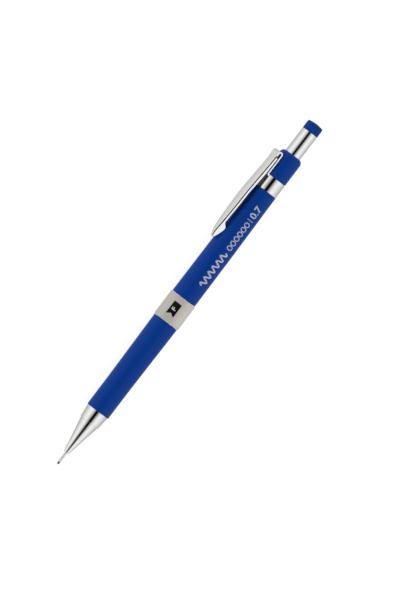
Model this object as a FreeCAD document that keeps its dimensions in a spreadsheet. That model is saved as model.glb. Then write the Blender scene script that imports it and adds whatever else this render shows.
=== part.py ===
"""Mechanical pencil with a push button, a lead grade collar and a sprung pocket clip.

Every piece is drawn in the pencil's own axes: X runs along the axis from the lead's tip to the
button, Z points from the axis towards the clip. All of them share one Placement, which lays the
pencil on its collar and its clip, tip towards the row's +X.
"""

import FreeCAD, Part
import math
import os
import Sketcher

from FreeCAD import Vector

# Driving dimensions, in millimetres and degrees. Names ending in dia are diameters.
SIZES = [
    ("lead_dia", 0.7), ("lead_length", 60.0), ("lead_out", 0.87),
    ("sleeve_dia", 1.05), ("sleeve_bore", 0.8), ("sleeve_out", 3.86), ("sleeve_held", 3.3),
    ("cone_length", 12.6), ("cone_tip_dia", 1.93), ("cone_back_dia", 6.77),
    ("ferrule_length", 4.77), ("ferrule_front_dia", 7.17), ("ferrule_back_dia", 8.17),
    ("thread_dia", 5.8), ("spigot_length", 2.4), ("ferrule_spigot_dia", 7.0),
    ("ferrule_spigot_length", 2.9),
    ("grip_length", 37.4), ("grip_dia", 8.67), ("grip_straight", 10.9),
    ("collar_length", 9.85), ("collar_dia", 9.85), ("collar_bore", 8.5),
    ("collar_chamfer", 0.5), ("collar_end_dia", 9.4),
    ("upper_length", 44.95), ("upper_front_dia", 9.3), ("upper_mid_dia", 9.08),
    ("upper_mid_run", 21.6), ("upper_back_dia", 8.52),
    ("band_length", 5.3), ("band_dia", 8.4),
    ("top_length", 9.9), ("top_dia", 8.45), ("top_shoulder", 1.7),
    ("tube_out", 9.38), ("tube_dia", 5.85), ("tube_bore", 5.2), ("tube_neck_bore", 4.54),
    ("tube_neck_length", 4.0),
    ("cap_length", 3.52), ("cap_dia", 5.95), ("cap_rounding", 0.8), ("cap_crown", 0.25),
    ("cap_plug_length", 3.9), ("cap_wall", 0.84),
    ("rib_grooves", 20.0), ("rib_groove_dia", 0.5), ("rib_groove_depth", 0.14),
    ("neck_dia", 6.8), ("neck_length", 7.5), ("barrel_bore", 5.2), ("rear_neck_dia", 7.4),
    ("rear_neck_length", 3.4), ("rear_bore", 6.2), ("rear_bore_length", 9.3),
    ("washer_thick", 0.8), ("drum_dia", 8.4),
    ("window_start", 2.45), ("window_length", 5.1), ("window_width", 3.0),
    ("window_notch", 1.0), ("window_angle", 53.0),
    ("retainer_dia", 2.2), ("retainer_length", 2.2), ("retainer_bore", 0.76),
    ("button_stroke", 4.0), ("ring_travel", 1.6), ("ring_back_set", 2.0), ("ring_length", 2.2),
    ("ring_dia", 4.4), ("chuck_front_dia", 3.1), ("chuck_shank_dia", 2.2),
    ("chuck_head_length", 4.0), ("chuck_shank_length", 17.4), ("chuck_grip_bore", 0.76),
    ("chuck_bore", 1.2), ("chuck_slit", 0.25), ("chuck_slit_length", 9.5),
    ("chuck_slits", 3.0),
    ("guide_dia", 4.4), ("guide_bore", 3.5), ("guide_lip", 1.15), ("guide_length", 15.15),
    ("guide_flange", 1.05), ("spring_wire", 0.3), ("spring_dia", 3.3), ("spring_turns", 7.5),
    ("spring_length", 10.9), ("connector_dia", 3.4), ("connector_plug", 4.5),
    ("reservoir_dia", 4.5), ("eraser_dia", 3.36), ("eraser_length", 12.6),
    ("eraser_head", 2.1), ("spare_offset", 1.2), ("spare_count", 3.0), ("spare_start", 1.0),
    ("push_tube_hidden", 12.5),
    ("clip_sheet", 0.48), ("clip_width", 4.3), ("clip_height", 7.12), ("clip_fold_run", 7.15),
    ("clip_fold_dia", 1.95), ("clip_leaf_gap", 0.02), ("clip_length", 36.2),
    ("clip_flange", 1.07), ("clip_flat_start", 4.5), ("clip_flat_length", 10.0),
    ("clip_nose_drop", 0.8), ("clip_pivot_set", 1.17), ("clip_contact_gap", 0.03),
    ("run_gap", 0.05), ("fit_gap", 0.02), ("face_gap", 0.05), ("pivot_gap", 0.01),
]

# Stations along the axis from the lead's tip, each worked out from the sizes above.
PLACES = [
    ("cone_tip", "lead_out + sleeve_out"),
    ("sleeve_back", "cone_tip + sleeve_held"),
    ("cone_back", "cone_tip + cone_length"),
    ("grip_front", "cone_back + ferrule_length"),
    ("grip_back", "grip_front + grip_length"),
    ("upper_front", "grip_back + collar_length"),
    ("band_front", "upper_front + upper_length"),
    ("band_back", "band_front + band_length"),
    ("top_back", "band_back + top_length"),
    ("tube_back", "top_back + tube_out"),
    ("overall", "tube_back + cap_length"),
    ("retainer_front", "sleeve_back + fit_gap"),
    ("retainer_back", "retainer_front + retainer_length"),
    ("chuck_front", "retainer_back + button_stroke + 7 * face_gap"),
    ("ring_front", "chuck_front + ring_back_set"),
    ("ring_back", "ring_front + ring_length"),
    ("ring_stop", "ring_front - ring_travel - face_gap"),
    ("guide_front", "ring_back + face_gap"),
    ("guide_back", "guide_front + guide_length"),
    ("spigot_back", "grip_front + spigot_length"),
    ("ferrule_back", "grip_front + ferrule_spigot_length"),
    ("flange_front", "spigot_back + 2 * face_gap"),
    ("flange_back", "flange_front + guide_flange"),
    ("spring_front", "guide_front + guide_lip + face_gap"),
    ("spring_back", "spring_front + spring_length"),
    ("connector_front", "spring_back + face_gap"),
    ("reservoir_front", "guide_back + button_stroke + 10 * face_gap"),
    ("connector_back", "reservoir_front + connector_plug"),
    ("cap_front", "tube_back - cap_plug_length"),
    ("reservoir_back", "cap_front - 2 * face_gap"),
    ("eraser_back", "tube_back + eraser_head"),
    ("eraser_front", "eraser_back - eraser_length"),
    ("push_tube_front", "top_back - push_tube_hidden"),
    ("tube_neck_back", "push_tube_front + tube_neck_length"),
    ("neck_front", "grip_back - neck_length"),
    ("rear_neck_back", "band_back + rear_neck_length"),
    ("rear_bore_front", "band_front - rear_bore_length"),
    ("drum_front", "grip_back + washer_thick + 2 * face_gap"),
    ("drum_back", "upper_front - washer_thick - 2 * face_gap"),
    ("spare_front", "connector_back + spare_start"),
    ("fold_centre", "band_back + clip_fold_run"),
    ("clip_pivot", "fold_centre - clip_pivot_set"),
    ("clip_end", "fold_centre + clip_fold_dia / 2 - clip_length"),
    ("leaf_under", "top_dia / 2 + clip_leaf_gap"),
    ("fold_height", "leaf_under + clip_fold_dia / 2"),
    ("pivot_height", "leaf_under + clip_fold_dia - clip_sheet / 2"),
]

doc = FreeCAD.newDocument("MechanicalPencil")


def make_sheet(name, rows, formula):
    """Fill a spreadsheet with one aliased row per value: plain numbers or formulas."""
    sheet = doc.addObject("Spreadsheet::Sheet", name)
    for row, (alias, value) in enumerate(rows, start=1):
        sheet.set(f"A{row}", alias)
        sheet.set(f"B{row}", formula(value))
        sheet.setAlias(f"B{row}", alias)
    doc.recompute()
    return sheet


def with_sheets(text):
    """Write each alias in an expression with the sheet that holds it."""
    sheets = {alias: "Sizes" for alias, _ in SIZES}
    sheets.update({alias: "Places" for alias, _ in PLACES})
    words = text.replace("(", "( ").replace(")", " )").split()
    return " ".join(f"{sheets[word]}.{word}" if word in sheets else word for word in words)


def station_formula(text):
    """A formula for the Places sheet, whose own aliases need no sheet name."""
    sizes = {alias for alias, _ in SIZES}
    return "=" + " ".join(f"Sizes.{word}" if word in sizes else word for word in text.split())


size = make_sheet("Sizes", SIZES, str)
place = make_sheet("Places", PLACES, station_formula)


def value(text):
    """The number an expression has now, in millimetres."""
    result = place.evalExpression(with_sheets(text))
    return float(getattr(result, "Value", result))


def resting_placement():
    """Lay the pencil down so that its collar and the clip's lower corner touch the surface."""
    half_width = size.clip_width / 2
    corner = math.hypot(size.clip_height, half_width)
    roll = math.asin(size.collar_dia / 2 / corner) - math.atan2(half_width, size.clip_height)
    reach = size.clip_height * math.cos(roll) + half_width * math.sin(roll)
    turn = FreeCAD.Rotation(Vector(0, 0, 1), 180)
    turn = turn.multiply(FreeCAD.Rotation(Vector(1, 0, 0), -90 - math.degrees(roll)))
    axis_y = (reach - size.collar_dia / 2) / 2
    return FreeCAD.Placement(Vector(place.overall / 2, axis_y, size.collar_dia / 2), turn)


LAID = resting_placement()


def origin_plane(body, role):
    """One of the body's own origin planes."""
    return next(item for item in body.Origin.OriginFeatures if item.Role == role)


def outline_sketch(body, name, role, points, turn=None):
    """A closed outline in a plane of the body, each corner bound to two expressions."""
    sketch = body.newObject("Sketcher::SketchObject", name)
    sketch.AttachmentSupport = (origin_plane(body, role), [""])
    sketch.MapMode = "FlatFace"
    if turn is not None:
        sketch.AttachmentOffset = turn
    corners = [Vector(value(across), value(up), 0) for across, up in points]
    count = len(corners)
    for index in range(count):
        line = Part.LineSegment(corners[index], corners[(index + 1) % count])
        sketch.addGeometry(line, False)
    for index in range(count):
        sketch.addConstraint(Sketcher.Constraint("Coincident", index, 2, (index + 1) % count, 1))
    for index, (across, up) in enumerate(points):
        for kind, text in (("DistanceX", across), ("DistanceY", up)):
            bind_corner(sketch, kind, index, text)
    return sketch


def bind_corner(sketch, kind, index, text):
    """Hold one coordinate of an outline's corner at an expression's value."""
    amount = value(text)
    if amount == 0:
        on_axis = -1 if kind == "DistanceY" else -2
        sketch.addConstraint(Sketcher.Constraint("PointOnObject", index, 1, on_axis))
        return
    number = sketch.addConstraint(Sketcher.Constraint(kind, -1, 1, index, 1, amount))
    sketch.setExpression(f"Constraints[{number}]", with_sheets(text))


def new_body(label):
    """An empty PartDesign body in the shared resting place."""
    body = doc.addObject("PartDesign::Body", label)
    body.Label = label
    body.Placement = LAID
    return body


def turned(label, points):
    """A body turned about the axis from an outline of (station, radius) corners."""
    body = new_body(label)
    sketch = outline_sketch(body, f"{label}_outline", "XY_Plane", points)
    revolution = body.newObject("PartDesign::Revolution", f"{label}_turned")
    revolution.Profile = sketch
    revolution.ReferenceAxis = (sketch, ["H_Axis"])
    revolution.Angle = 360
    doc.recompute()
    return body


def tube(label, front, back, inner, outer):
    """A plain tube between two stations."""
    return turned(label, [(front, inner), (front, outer), (back, outer), (back, inner)])


def rod(label, front, back, dia):
    """A solid rod on the axis."""
    return turned(label, [(front, "0"), (front, dia), (back, dia), (back, "0")])


def rim_edges(body, station, radius):
    """Names of the body's circular edges with this radius at this station."""
    names = []
    for number, edge in enumerate(body.Tip.Shape.Edges, start=1):
        curve = edge.Curve
        if not isinstance(curve, Part.Circle):
            continue
        near = abs(curve.Center.x - value(station)) < 1e-4
        if near and abs(curve.Radius - value(radius)) < 1e-4:
            names.append(f"Edge{number}")
    return names


def round_rim(body, station, radius, amount):
    """Round a rim of the body by an expression's value."""
    names = rim_edges(body, station, radius)
    assert names, f"{body.Label}: no rim at {station}"
    base = body.Tip
    fillet = body.newObject("PartDesign::Fillet", f"{body.Label}_round")
    fillet.Base = (base, names)
    fillet.Radius = value(amount)
    fillet.setExpression("Radius", with_sheets(amount))
    doc.recompute()


def bore_out(body, name, points):
    """Turn a hole round the axis out of the body, and see that material has gone."""
    before = body.Shape.Volume
    sketch = outline_sketch(body, f"{name}_outline", "XY_Plane", points)
    groove = body.newObject("PartDesign::Groove", name)
    groove.Profile = sketch
    groove.ReferenceAxis = (sketch, ["H_Axis"])
    groove.Angle = 360
    doc.recompute()
    assert body.Shape.Volume < before - 1e-6, f"{name} cut nothing"


def cut_through(body, name, role, points, length, turn=None, back=False, midplane=False):
    """Cut an outline out of the body, and see that material has gone."""
    before = body.Shape.Volume
    sketch = outline_sketch(body, f"{name}_outline", role, points, turn)
    pocket = body.newObject("PartDesign::Pocket", name)
    pocket.Profile = sketch
    pocket.Type = "Length"
    pocket.Length = value(length)
    pocket.setExpression("Length", with_sheets(length))
    pocket.Reversed = back
    pocket.Midplane = midplane
    doc.recompute()
    assert body.Shape.Volume < before - 1e-6, f"{name} cut nothing"
    return pocket


def repeat_round(body, name, feature, count):
    """Repeat a cut evenly round the pencil's axis."""
    before = body.Shape.Volume
    axis = next(item for item in body.Origin.OriginFeatures if item.Role == "X_Axis")
    pattern = body.newObject("PartDesign::PolarPattern", name)
    pattern.Originals = [feature]
    pattern.Axis = (axis, [""])
    pattern.Angle = 360
    pattern.Occurrences = int(value(count))
    pattern.setExpression("Occurrences", with_sheets(count))
    body.Tip = pattern
    doc.recompute()
    assert body.Shape.Volume < before - 1e-6, f"{name} added no cuts"


def shaped(label, shape, along=FreeCAD.Placement()):
    """A Part::Feature for a piece made with Part's own functions."""
    feature = doc.addObject("Part::Feature", label)
    feature.Label = label
    feature.Shape = shape
    feature.Placement = LAID.multiply(along)
    return feature


# --- Writing end: lead, sleeve, retainer, cone, ferrule ---------------------------------------

def make_lead():
    """The lead in use, which sticks out of the sleeve."""
    return rod("writing_lead", "0", "lead_length", "lead_dia / 2")


def make_lead_sleeve():
    """Thin steel sleeve that guides the lead out of the cone."""
    return tube("lead_sleeve", "lead_out", "sleeve_back", "sleeve_bore / 2", "sleeve_dia / 2")


def make_lead_retainer():
    """Rubber bush that holds the lead while the chuck goes back for more."""
    return tube("lead_retainer", "retainer_front", "retainer_back", "retainer_bore / 2",
                "retainer_dia / 2")


def make_nose_cone():
    """Screwed cone: seats the sleeve and retainer, and stops the chuck ring."""
    seat = "sleeve_dia / 2 + fit_gap"
    pocket = "retainer_dia / 2 + fit_gap"
    chuck_way = "chuck_front_dia / 2 + run_gap + fit_gap"
    chamber = "ring_dia / 2 + run_gap"
    return turned("nose_cone", [
        ("cone_tip", seat), ("cone_tip", "cone_tip_dia / 2"),
        ("cone_back", "cone_back_dia / 2"), ("cone_back", "thread_dia / 2"),
        ("spigot_back", "thread_dia / 2"), ("spigot_back", chamber),
        ("ring_stop", chamber), ("ring_stop", chuck_way),
        ("retainer_back + fit_gap", chuck_way), ("retainer_back + fit_gap", pocket),
        ("sleeve_back", pocket), ("sleeve_back", seat),
    ])


def make_ferrule():
    """Metal ring on the barrel's front end, with the thread for the cone."""
    bore = "thread_dia / 2 + run_gap"
    return turned("nose_ferrule", [
        ("cone_back + face_gap", bore), ("cone_back + face_gap", "ferrule_front_dia / 2"),
        ("grip_front", "ferrule_back_dia / 2"), ("grip_front", "ferrule_spigot_dia / 2"),
        ("ferrule_back", "ferrule_spigot_dia / 2"), ("ferrule_back", bore),
    ])


# --- Feed mechanism: chuck, ring, guide, spring, connector, reservoir -------------------------

def make_chuck():
    """Brass collet: a tapered head in three jaws, on a slender shank."""
    head_back = "chuck_front + chuck_head_length"
    grip_back = "chuck_front + chuck_head_length + 1"
    shank_back = "chuck_front + chuck_shank_length"
    body = turned("chuck", [
        ("chuck_front", "chuck_grip_bore / 2"), ("chuck_front", "chuck_front_dia / 2"),
        (head_back, "chuck_shank_dia / 2"), (shank_back, "chuck_shank_dia / 2"),
        (shank_back, "chuck_bore / 2"), (grip_back, "chuck_bore / 2"),
        (grip_back, "chuck_grip_bore / 2"),
    ])
    slit_back = "chuck_front + chuck_slit_length"
    slit = cut_through(body, "jaw_slit", "XY_Plane", [
        ("chuck_front - 1", "0 - chuck_slit / 2"), (slit_back, "0 - chuck_slit / 2"),
        (slit_back, "chuck_slit / 2"), ("chuck_front - 1", "chuck_slit / 2"),
    ], "chuck_front_dia", back=True)
    repeat_round(body, "jaw_slits", slit, "chuck_slits")
    return body


def make_chuck_ring():
    """Loose brass ring that squeezes the jaws; its bore has the chuck's taper."""
    slope = "( chuck_front_dia - chuck_shank_dia ) / 2 / chuck_head_length"
    front_bore = f"chuck_front_dia / 2 - ring_back_set * {slope} + fit_gap"
    back_bore = f"chuck_front_dia / 2 - ( ring_back_set + ring_length ) * {slope} + 2 * run_gap"
    return turned("chuck_ring", [
        ("ring_front", front_bore), ("ring_front", "ring_dia / 2"),
        ("ring_back", "ring_dia / 2"), ("ring_back", back_bore),
    ])


def make_guide_sleeve():
    """Flanged sleeve, clamped behind the cone, that houses the return spring."""
    lip = "chuck_shank_dia / 2 + 2 * run_gap"
    lip_back = "guide_front + guide_lip"
    flange = "thread_dia / 2"
    return turned("guide_sleeve", [
        ("guide_front", lip), ("guide_front", "guide_dia / 2"),
        ("flange_front", "guide_dia / 2"), ("flange_front", flange),
        ("flange_back", flange), ("flange_back", "guide_dia / 2"),
        ("guide_back", "guide_dia / 2"), ("guide_back", "guide_bore / 2"),
        (lip_back, "guide_bore / 2"), (lip_back, lip),
    ])


def make_return_spring():
    """Compression spring round the chuck's shank, a wire swept along a helix."""
    wire = size.spring_wire / 2
    mean = size.spring_dia / 2 - wire
    height = size.spring_length - size.spring_wire
    helix = Part.makeHelix(height / size.spring_turns, height, mean)
    section = Part.Wire(Part.makeCircle(wire, Vector(mean, 0, 0), Vector(0, 1, 0)))
    coil = Part.Wire(helix).makePipeShell([section], True, True)
    start = Vector(place.spring_front + wire, 0, 0)
    along = FreeCAD.Placement(start, FreeCAD.Rotation(Vector(0, 1, 0), 90))
    return shaped("return_spring", coil, along)


def make_connector():
    """Brass bush that joins the chuck's shank to the lead reservoir."""
    shank_back = "chuck_front + chuck_shank_length + fit_gap"
    seat = "chuck_shank_dia / 2 + fit_gap"
    return turned("chuck_connector", [
        ("connector_front", seat), ("connector_front", "connector_dia / 2"),
        ("connector_back", "connector_dia / 2"), ("connector_back", "chuck_bore / 2"),
        (shank_back, "chuck_bore / 2"), (shank_back, seat),
    ])


def make_reservoir():
    """Plastic tube that stores the spare leads and carries the button's push forward."""
    bore = "connector_dia / 2 + fit_gap"
    return tube("lead_reservoir", "reservoir_front", "reservoir_back", bore,
                "reservoir_dia / 2")


def make_spare_leads():
    """Spare leads lying in the reservoir, evenly spread round the axis."""
    for number in range(int(size.spare_count)):
        around = 2 * math.pi * number / size.spare_count
        centre = Vector(place.spare_front, size.spare_offset * math.sin(around),
                        size.spare_offset * math.cos(around))
        stick = doc.addObject("Part::Cylinder", f"spare_lead_{number + 1}")
        stick.Label = f"spare_lead_{number + 1}"
        stick.setExpression("Radius", "Sizes.lead_dia / 2")
        stick.setExpression("Height", "Sizes.lead_length")
        along = FreeCAD.Placement(centre, FreeCAD.Rotation(Vector(0, 1, 0), 90))
        stick.Placement = LAID.multiply(along)
        yield stick


# --- Barrels and grade collar -----------------------------------------------------------------

def make_grip_barrel():
    """Front barrel: straight where the fingers hold it, then widening to the collar."""
    front = "grip_front + fit_gap"
    socket = "ferrule_spigot_dia / 2 + fit_gap"
    flange_way = "thread_dia / 2 + run_gap"
    neck_way = "neck_dia / 2 + fit_gap"
    body = turned("grip_barrel", [
        (front, socket), (front, "grip_dia / 2"),
        ("grip_front + grip_straight", "grip_dia / 2"), ("grip_back", "upper_front_dia / 2"),
        ("grip_back", neck_way), ("neck_front - fit_gap", neck_way),
        ("neck_front - fit_gap", "barrel_bore / 2"), ("flange_back + face_gap", "barrel_bore / 2"),
        ("flange_back + face_gap", flange_way), ("ferrule_back + fit_gap", flange_way),
        ("ferrule_back + fit_gap", socket),
    ])
    round_rim(body, front, "grip_dia / 2", "2 * face_gap")
    return body


def make_indicator_collar():
    """Collar that turns round the neck; its swallowtail window shows one grade."""
    front = "grip_back + face_gap"
    back = "upper_front - face_gap"
    inner = "collar_bore / 2"
    outer = "collar_dia / 2"
    body = turned("indicator_collar", [
        (front, inner), (front, "collar_end_dia / 2"), ("grip_back + collar_chamfer", outer),
        ("upper_front - collar_chamfer", outer), (back, "collar_end_dia / 2"), (back, inner),
    ])
    start = "grip_back + window_start"
    end = "grip_back + window_start + window_length"
    apex = "grip_back + window_start + window_notch"
    turn = FreeCAD.Placement(Vector(), FreeCAD.Rotation(Vector(1, 0, 0), size.window_angle))
    cut_through(body, "grade_window", "XY_Plane", [
        (start, "0 - window_width / 2"), (end, "0 - window_width / 2"),
        (end, "window_width / 2"), (start, "window_width / 2"), (apex, "0"),
    ], "collar_dia", turn=turn, back=True)
    return body


def make_grade_drum():
    """Dark drum under the collar, which carries the grade marks."""
    return tube("grade_drum", "drum_front", "drum_back", "neck_dia / 2 + fit_gap", "drum_dia / 2")


def make_collar_washers():
    """Two soft washers that give the collar its drag."""
    inner = "neck_dia / 2 + fit_gap"
    yield tube("front_washer", "grip_back + face_gap", "grip_back + face_gap + washer_thick",
               inner, "drum_dia / 2")
    yield tube("rear_washer", "upper_front - face_gap - washer_thick", "upper_front - face_gap",
               inner, "drum_dia / 2")


def make_upper_barrel():
    """Rear barrel: its front neck carries the collar, its rear neck the clip's band."""
    return turned("upper_barrel", [
        ("neck_front", "barrel_bore / 2"), ("neck_front", "neck_dia / 2"),
        ("upper_front", "neck_dia / 2"), ("upper_front", "upper_front_dia / 2"),
        ("upper_front + upper_mid_run", "upper_mid_dia / 2"),
        ("band_front", "upper_back_dia / 2"), ("band_front", "rear_neck_dia / 2"),
        ("rear_neck_back", "rear_neck_dia / 2"), ("rear_neck_back", "rear_bore / 2"),
        ("rear_bore_front", "rear_bore / 2"), ("rear_bore_front", "barrel_bore / 2"),
    ])


# --- Clip -------------------------------------------------------------------------------------

def sheet_prism(edges, width):
    """A prism across the clip from a closed side outline in the XZ plane."""
    face = Part.Face(Part.Wire(edges))
    face.translate(Vector(0, -width / 2, 0))
    return face.extrude(Vector(0, width, 0))


def side(station, height):
    """A point of the clip's side outline."""
    return Vector(station, 0, height)


def arc(first, middle, last):
    """An arc through three points."""
    return Part.Arc(first, middle, last).toShape()


def line(first, last):
    """A straight edge."""
    return Part.LineSegment(first, last).toShape()


def spline(points, leaves=None, arrives=None):
    """A smooth edge through the points, with its end directions where they are given."""
    curve = Part.BSplineCurve()
    if leaves is None:
        curve.interpolate(points)
    else:
        curve.interpolate(Points=points, InitialTangent=leaves, FinalTangent=arrives)
    return curve.toShape()


def make_clip_band():
    """Band round the rear neck, with the leaf and the fold that the clip's arm springs from."""
    thick = size.clip_sheet
    under = place.leaf_under
    fold = size.clip_fold_dia / 2
    centre = place.fold_centre
    middle = place.fold_height
    groove = thick / 2 + size.pivot_gap
    pivot = place.clip_pivot
    height = place.pivot_height
    root = size.band_dia / 2 - thick
    low_back = place.band_back - size.face_gap
    rise = low_back - 1.5 * thick
    top = under + 2 * fold
    inner = fold - thick
    lip = pivot + math.sqrt(groove ** 2 - (thick / 2) ** 2)
    profile = [
        line(side(rise, root), side(rise + thick, under + thick)),
        line(side(rise + thick, under + thick), side(centre, under + thick)),
        arc(side(centre, under + thick), side(centre + inner, middle), side(centre, top - thick)),
        line(side(centre, top - thick), side(lip, top - thick)),
        arc(side(lip, top - thick), side(pivot + groove, height), side(lip, top)),
        line(side(lip, top), side(centre, top)),
        arc(side(centre, top), side(centre + fold, middle), side(centre, under)),
        line(side(centre, under), side(low_back, under)),
        line(side(low_back, under), side(low_back, root)),
        line(side(low_back, root), side(rise, root)),
    ]
    leaf = sheet_prism(profile, size.clip_width)
    length = low_back - place.band_front - size.face_gap
    start = Vector(place.band_front + size.face_gap, 0, 0)
    ring = Part.makeCylinder(size.band_dia / 2, length, start, Vector(1, 0, 0))
    whole = ring.fuse(leaf)
    bore = size.rear_neck_dia / 2 + size.fit_gap
    whole = whole.cut(Part.makeCylinder(bore, length + 2, start - Vector(1, 0, 0), Vector(1, 0, 0)))
    return shaped("clip_band", whole.removeSplitter())


# The arm narrows to its end: distance from the end, and share of the full half width there.
ARM_TAPER = [(16.5, 1.0), (8.3, 0.8), (3.6, 0.57), (0.75, 0.3)]
# Foot of the arm's side walls under its end: distance from the end, and height over the touch.
FOOT_DIP = [(0.6, 1.08), (1.8, 0.53), (2.9, 0.15), (4.9, 0.14), (5.6, 0.85), (6.1, 1.42)]
# Foot of the side walls towards the fold: share of the run from the dip, and extra depth.
FOOT_RUN = [(0.0, 0.0), (0.42, 0.05), (0.59, 0.4), (0.79, 0.8), (0.97, 0.88)]


def plan_prism(inset):
    """A prism of the arm's outline seen from above, its sides moved in by inset."""
    half = size.clip_width / 2 - inset
    end = place.clip_end + inset
    upper = [Vector(end + run, half * share, 0) for run, share in ARM_TAPER]
    lower = [Vector(end + run, -half * share, 0) for run, share in reversed(ARM_TAPER)]
    back = place.clip_pivot + size.clip_sheet
    corners = [Vector(back, half, 0), Vector(back, -half, 0)]
    edges = [
        line(corners[0], upper[0]), spline(upper),
        arc(upper[-1], Vector(end, 0, 0), lower[0]), spline(lower),
        line(lower[-1], corners[1]), line(corners[1], corners[0]),
    ]
    return Part.Face(Part.Wire(edges)).extrude(Vector(0, 0, 2 * size.clip_height))


BOW_RUN, BOW_RISE = 0.53, 0.62        # a middle point of the arm's long rise from the fold
NOSE_RUN, NOSE_SHARE = 0.355, 0.3     # a middle point of its short fall to the end


def arm_face(drop):
    """The arm's outer face in side view, moved towards the axis by drop."""
    pivot = place.clip_pivot
    end = place.clip_end
    high = size.clip_height - drop
    low = place.pivot_height + size.clip_sheet / 2 - drop
    flat_front = end + size.clip_flat_start
    flat_back = flat_front + size.clip_flat_length
    bow_middle = side(pivot + BOW_RUN * (flat_back - pivot), low + BOW_RISE * (high - low))
    nose_middle = side(end + NOSE_RUN * size.clip_flat_start, high - NOSE_SHARE * size.clip_nose_drop)
    bow = [side(pivot, low), bow_middle, side(flat_back, high)]
    nose = [side(flat_front, high), nose_middle, side(end, high - size.clip_nose_drop)]
    return bow, nose


def upper_radius(station):
    """Radius of the upper barrel's rear taper at a station."""
    middle = place.upper_front + size.upper_mid_run
    share = (station - middle) / (place.band_front - middle)
    return (size.upper_mid_dia + share * (size.upper_back_dia - size.upper_mid_dia)) / 2


FOOT_TOUCH = 4.0      # where the foot touches the barrel, from the arm's end
FOOT_LEVEL = 6.5      # where the foot's dip ends, from the arm's end


def make_clip_arm():
    """Sprung arm: a folded channel whose side walls dip to press on the barrel."""
    thick = size.clip_sheet
    pivot = place.clip_pivot
    height = place.pivot_height
    end = place.clip_end
    bow, nose = arm_face(0)
    forward = Vector(-1, 0, 0)
    nose_way = Vector(-1, 0, -0.5)
    touch_at = end + FOOT_TOUCH
    inside = ARM_TAPER[2][1] * size.clip_width / 2 - thick
    touch = math.sqrt(upper_radius(touch_at) ** 2 - inside ** 2) + size.clip_contact_gap
    level = size.clip_height - size.clip_flange
    back = pivot - thick
    run = back - end - FOOT_LEVEL
    dip = [side(end, size.clip_height - size.clip_nose_drop - thick)]
    dip += [side(end + along, touch + over) for along, over in FOOT_DIP[:3]]
    dip += [side(touch_at, touch)]
    dip += [side(end + along, touch + over) for along, over in FOOT_DIP[3:]]
    dip += [side(end + FOOT_LEVEL, level)]
    fade = [side(end + FOOT_LEVEL + share * run, level - depth) for share, depth in FOOT_RUN]
    fade += [side(back, level - FOOT_RUN[-1][1])]
    outer = sheet_prism([
        arc(side(pivot, height - thick / 2), side(pivot + thick / 2, height), bow[0]),
        spline(bow, forward, forward), line(bow[-1], nose[0]), spline(nose, forward, nose_way),
        line(nose[-1], dip[0]), spline(dip), spline(fade),
        line(fade[-1], side(back, height - thick / 2)),
        line(side(back, height - thick / 2), side(pivot, height - thick / 2)),
    ], size.clip_width)
    under_bow, under_nose = arm_face(thick)
    floor = size.clip_height / 2
    inner = sheet_prism([
        spline(under_bow, forward, forward), line(under_bow[-1], under_nose[0]),
        spline(under_nose, forward, nose_way), line(under_nose[-1], side(end, floor)),
        line(side(end, floor), side(pivot, floor)), line(side(pivot, floor), under_bow[0]),
    ], size.clip_width)
    shell = outer.common(plan_prism(0))
    hollow = inner.common(plan_prism(thick))
    return shaped("clip_arm", shell.cut(hollow))


# --- Button end -------------------------------------------------------------------------------

def make_top_section():
    """Barrel's end cap, screwed on the rear neck behind the clip's band."""
    front = "band_back + fit_gap"
    socket = "rear_neck_dia / 2 + fit_gap"
    bore = "tube_dia / 2 + run_gap"
    floor = "rear_neck_back + face_gap"
    body = rod("top_section", front, "top_back", "top_dia / 2")
    round_rim(body, "top_back", "top_dia / 2", "top_shoulder")
    bore_out(body, "button_way", [
        ("band_back - 1", "0"), ("band_back - 1", socket), (floor, socket), (floor, bore),
        ("top_back + 1", bore), ("top_back + 1", "0"),
    ])
    return body


def make_push_tube():
    """Plated tube that carries the button's push to the reservoir, which its neck holds."""
    front, back, neck_end = "push_tube_front", "tube_back - face_gap", "tube_neck_back"
    neck, outer, inner = "tube_neck_bore / 2", "tube_dia / 2", "tube_bore / 2"
    return turned("push_tube", [
        (front, neck), (front, outer), (back, outer), (back, inner), (neck_end, inner),
        (neck_end, neck),
    ])


def make_button_cap():
    """Ribbed cap: plugs into the push tube and covers the eraser."""
    plug = "tube_bore / 2 - fit_gap"
    hollow = "tube_bore / 2 - fit_gap - cap_wall"
    outer = "cap_dia / 2"
    roof = "eraser_back + 2 * face_gap"
    body = turned("button_cap", [
        ("cap_front", hollow), ("cap_front", plug), ("tube_back", plug), ("tube_back", outer),
        ("overall - cap_crown", outer), ("overall", "0"), (roof, "0"), (roof, hollow),
    ])
    round_rim(body, "overall - cap_crown", outer, "cap_rounding")
    reach = "cap_dia / 2 - rib_groove_depth"
    half = "rib_groove_dia / 2"
    before = body.Shape.Volume
    sketch = outline_sketch(body, "rib_outline", "YZ_Plane", [
        (f"0 - {half}", "cap_dia / 2 + rib_groove_depth"), ("0", reach),
        (half, "cap_dia / 2 + rib_groove_depth"),
    ])
    groove = body.newObject("PartDesign::Pocket", "rib_groove")
    groove.Profile = sketch
    groove.Type = "Length"
    groove.setExpression("Length", with_sheets("overall + 1"))
    groove.Reversed = True
    doc.recompute()
    assert body.Shape.Volume < before - 1e-6, "the rib groove cut nothing"
    repeat_round(body, "rib_grooves", groove, "rib_grooves")
    return body


def make_eraser():
    """Eraser under the cap, pushed into the reservoir's open end."""
    return rod("eraser", "eraser_front", "eraser_back", "eraser_dia / 2")


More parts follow.
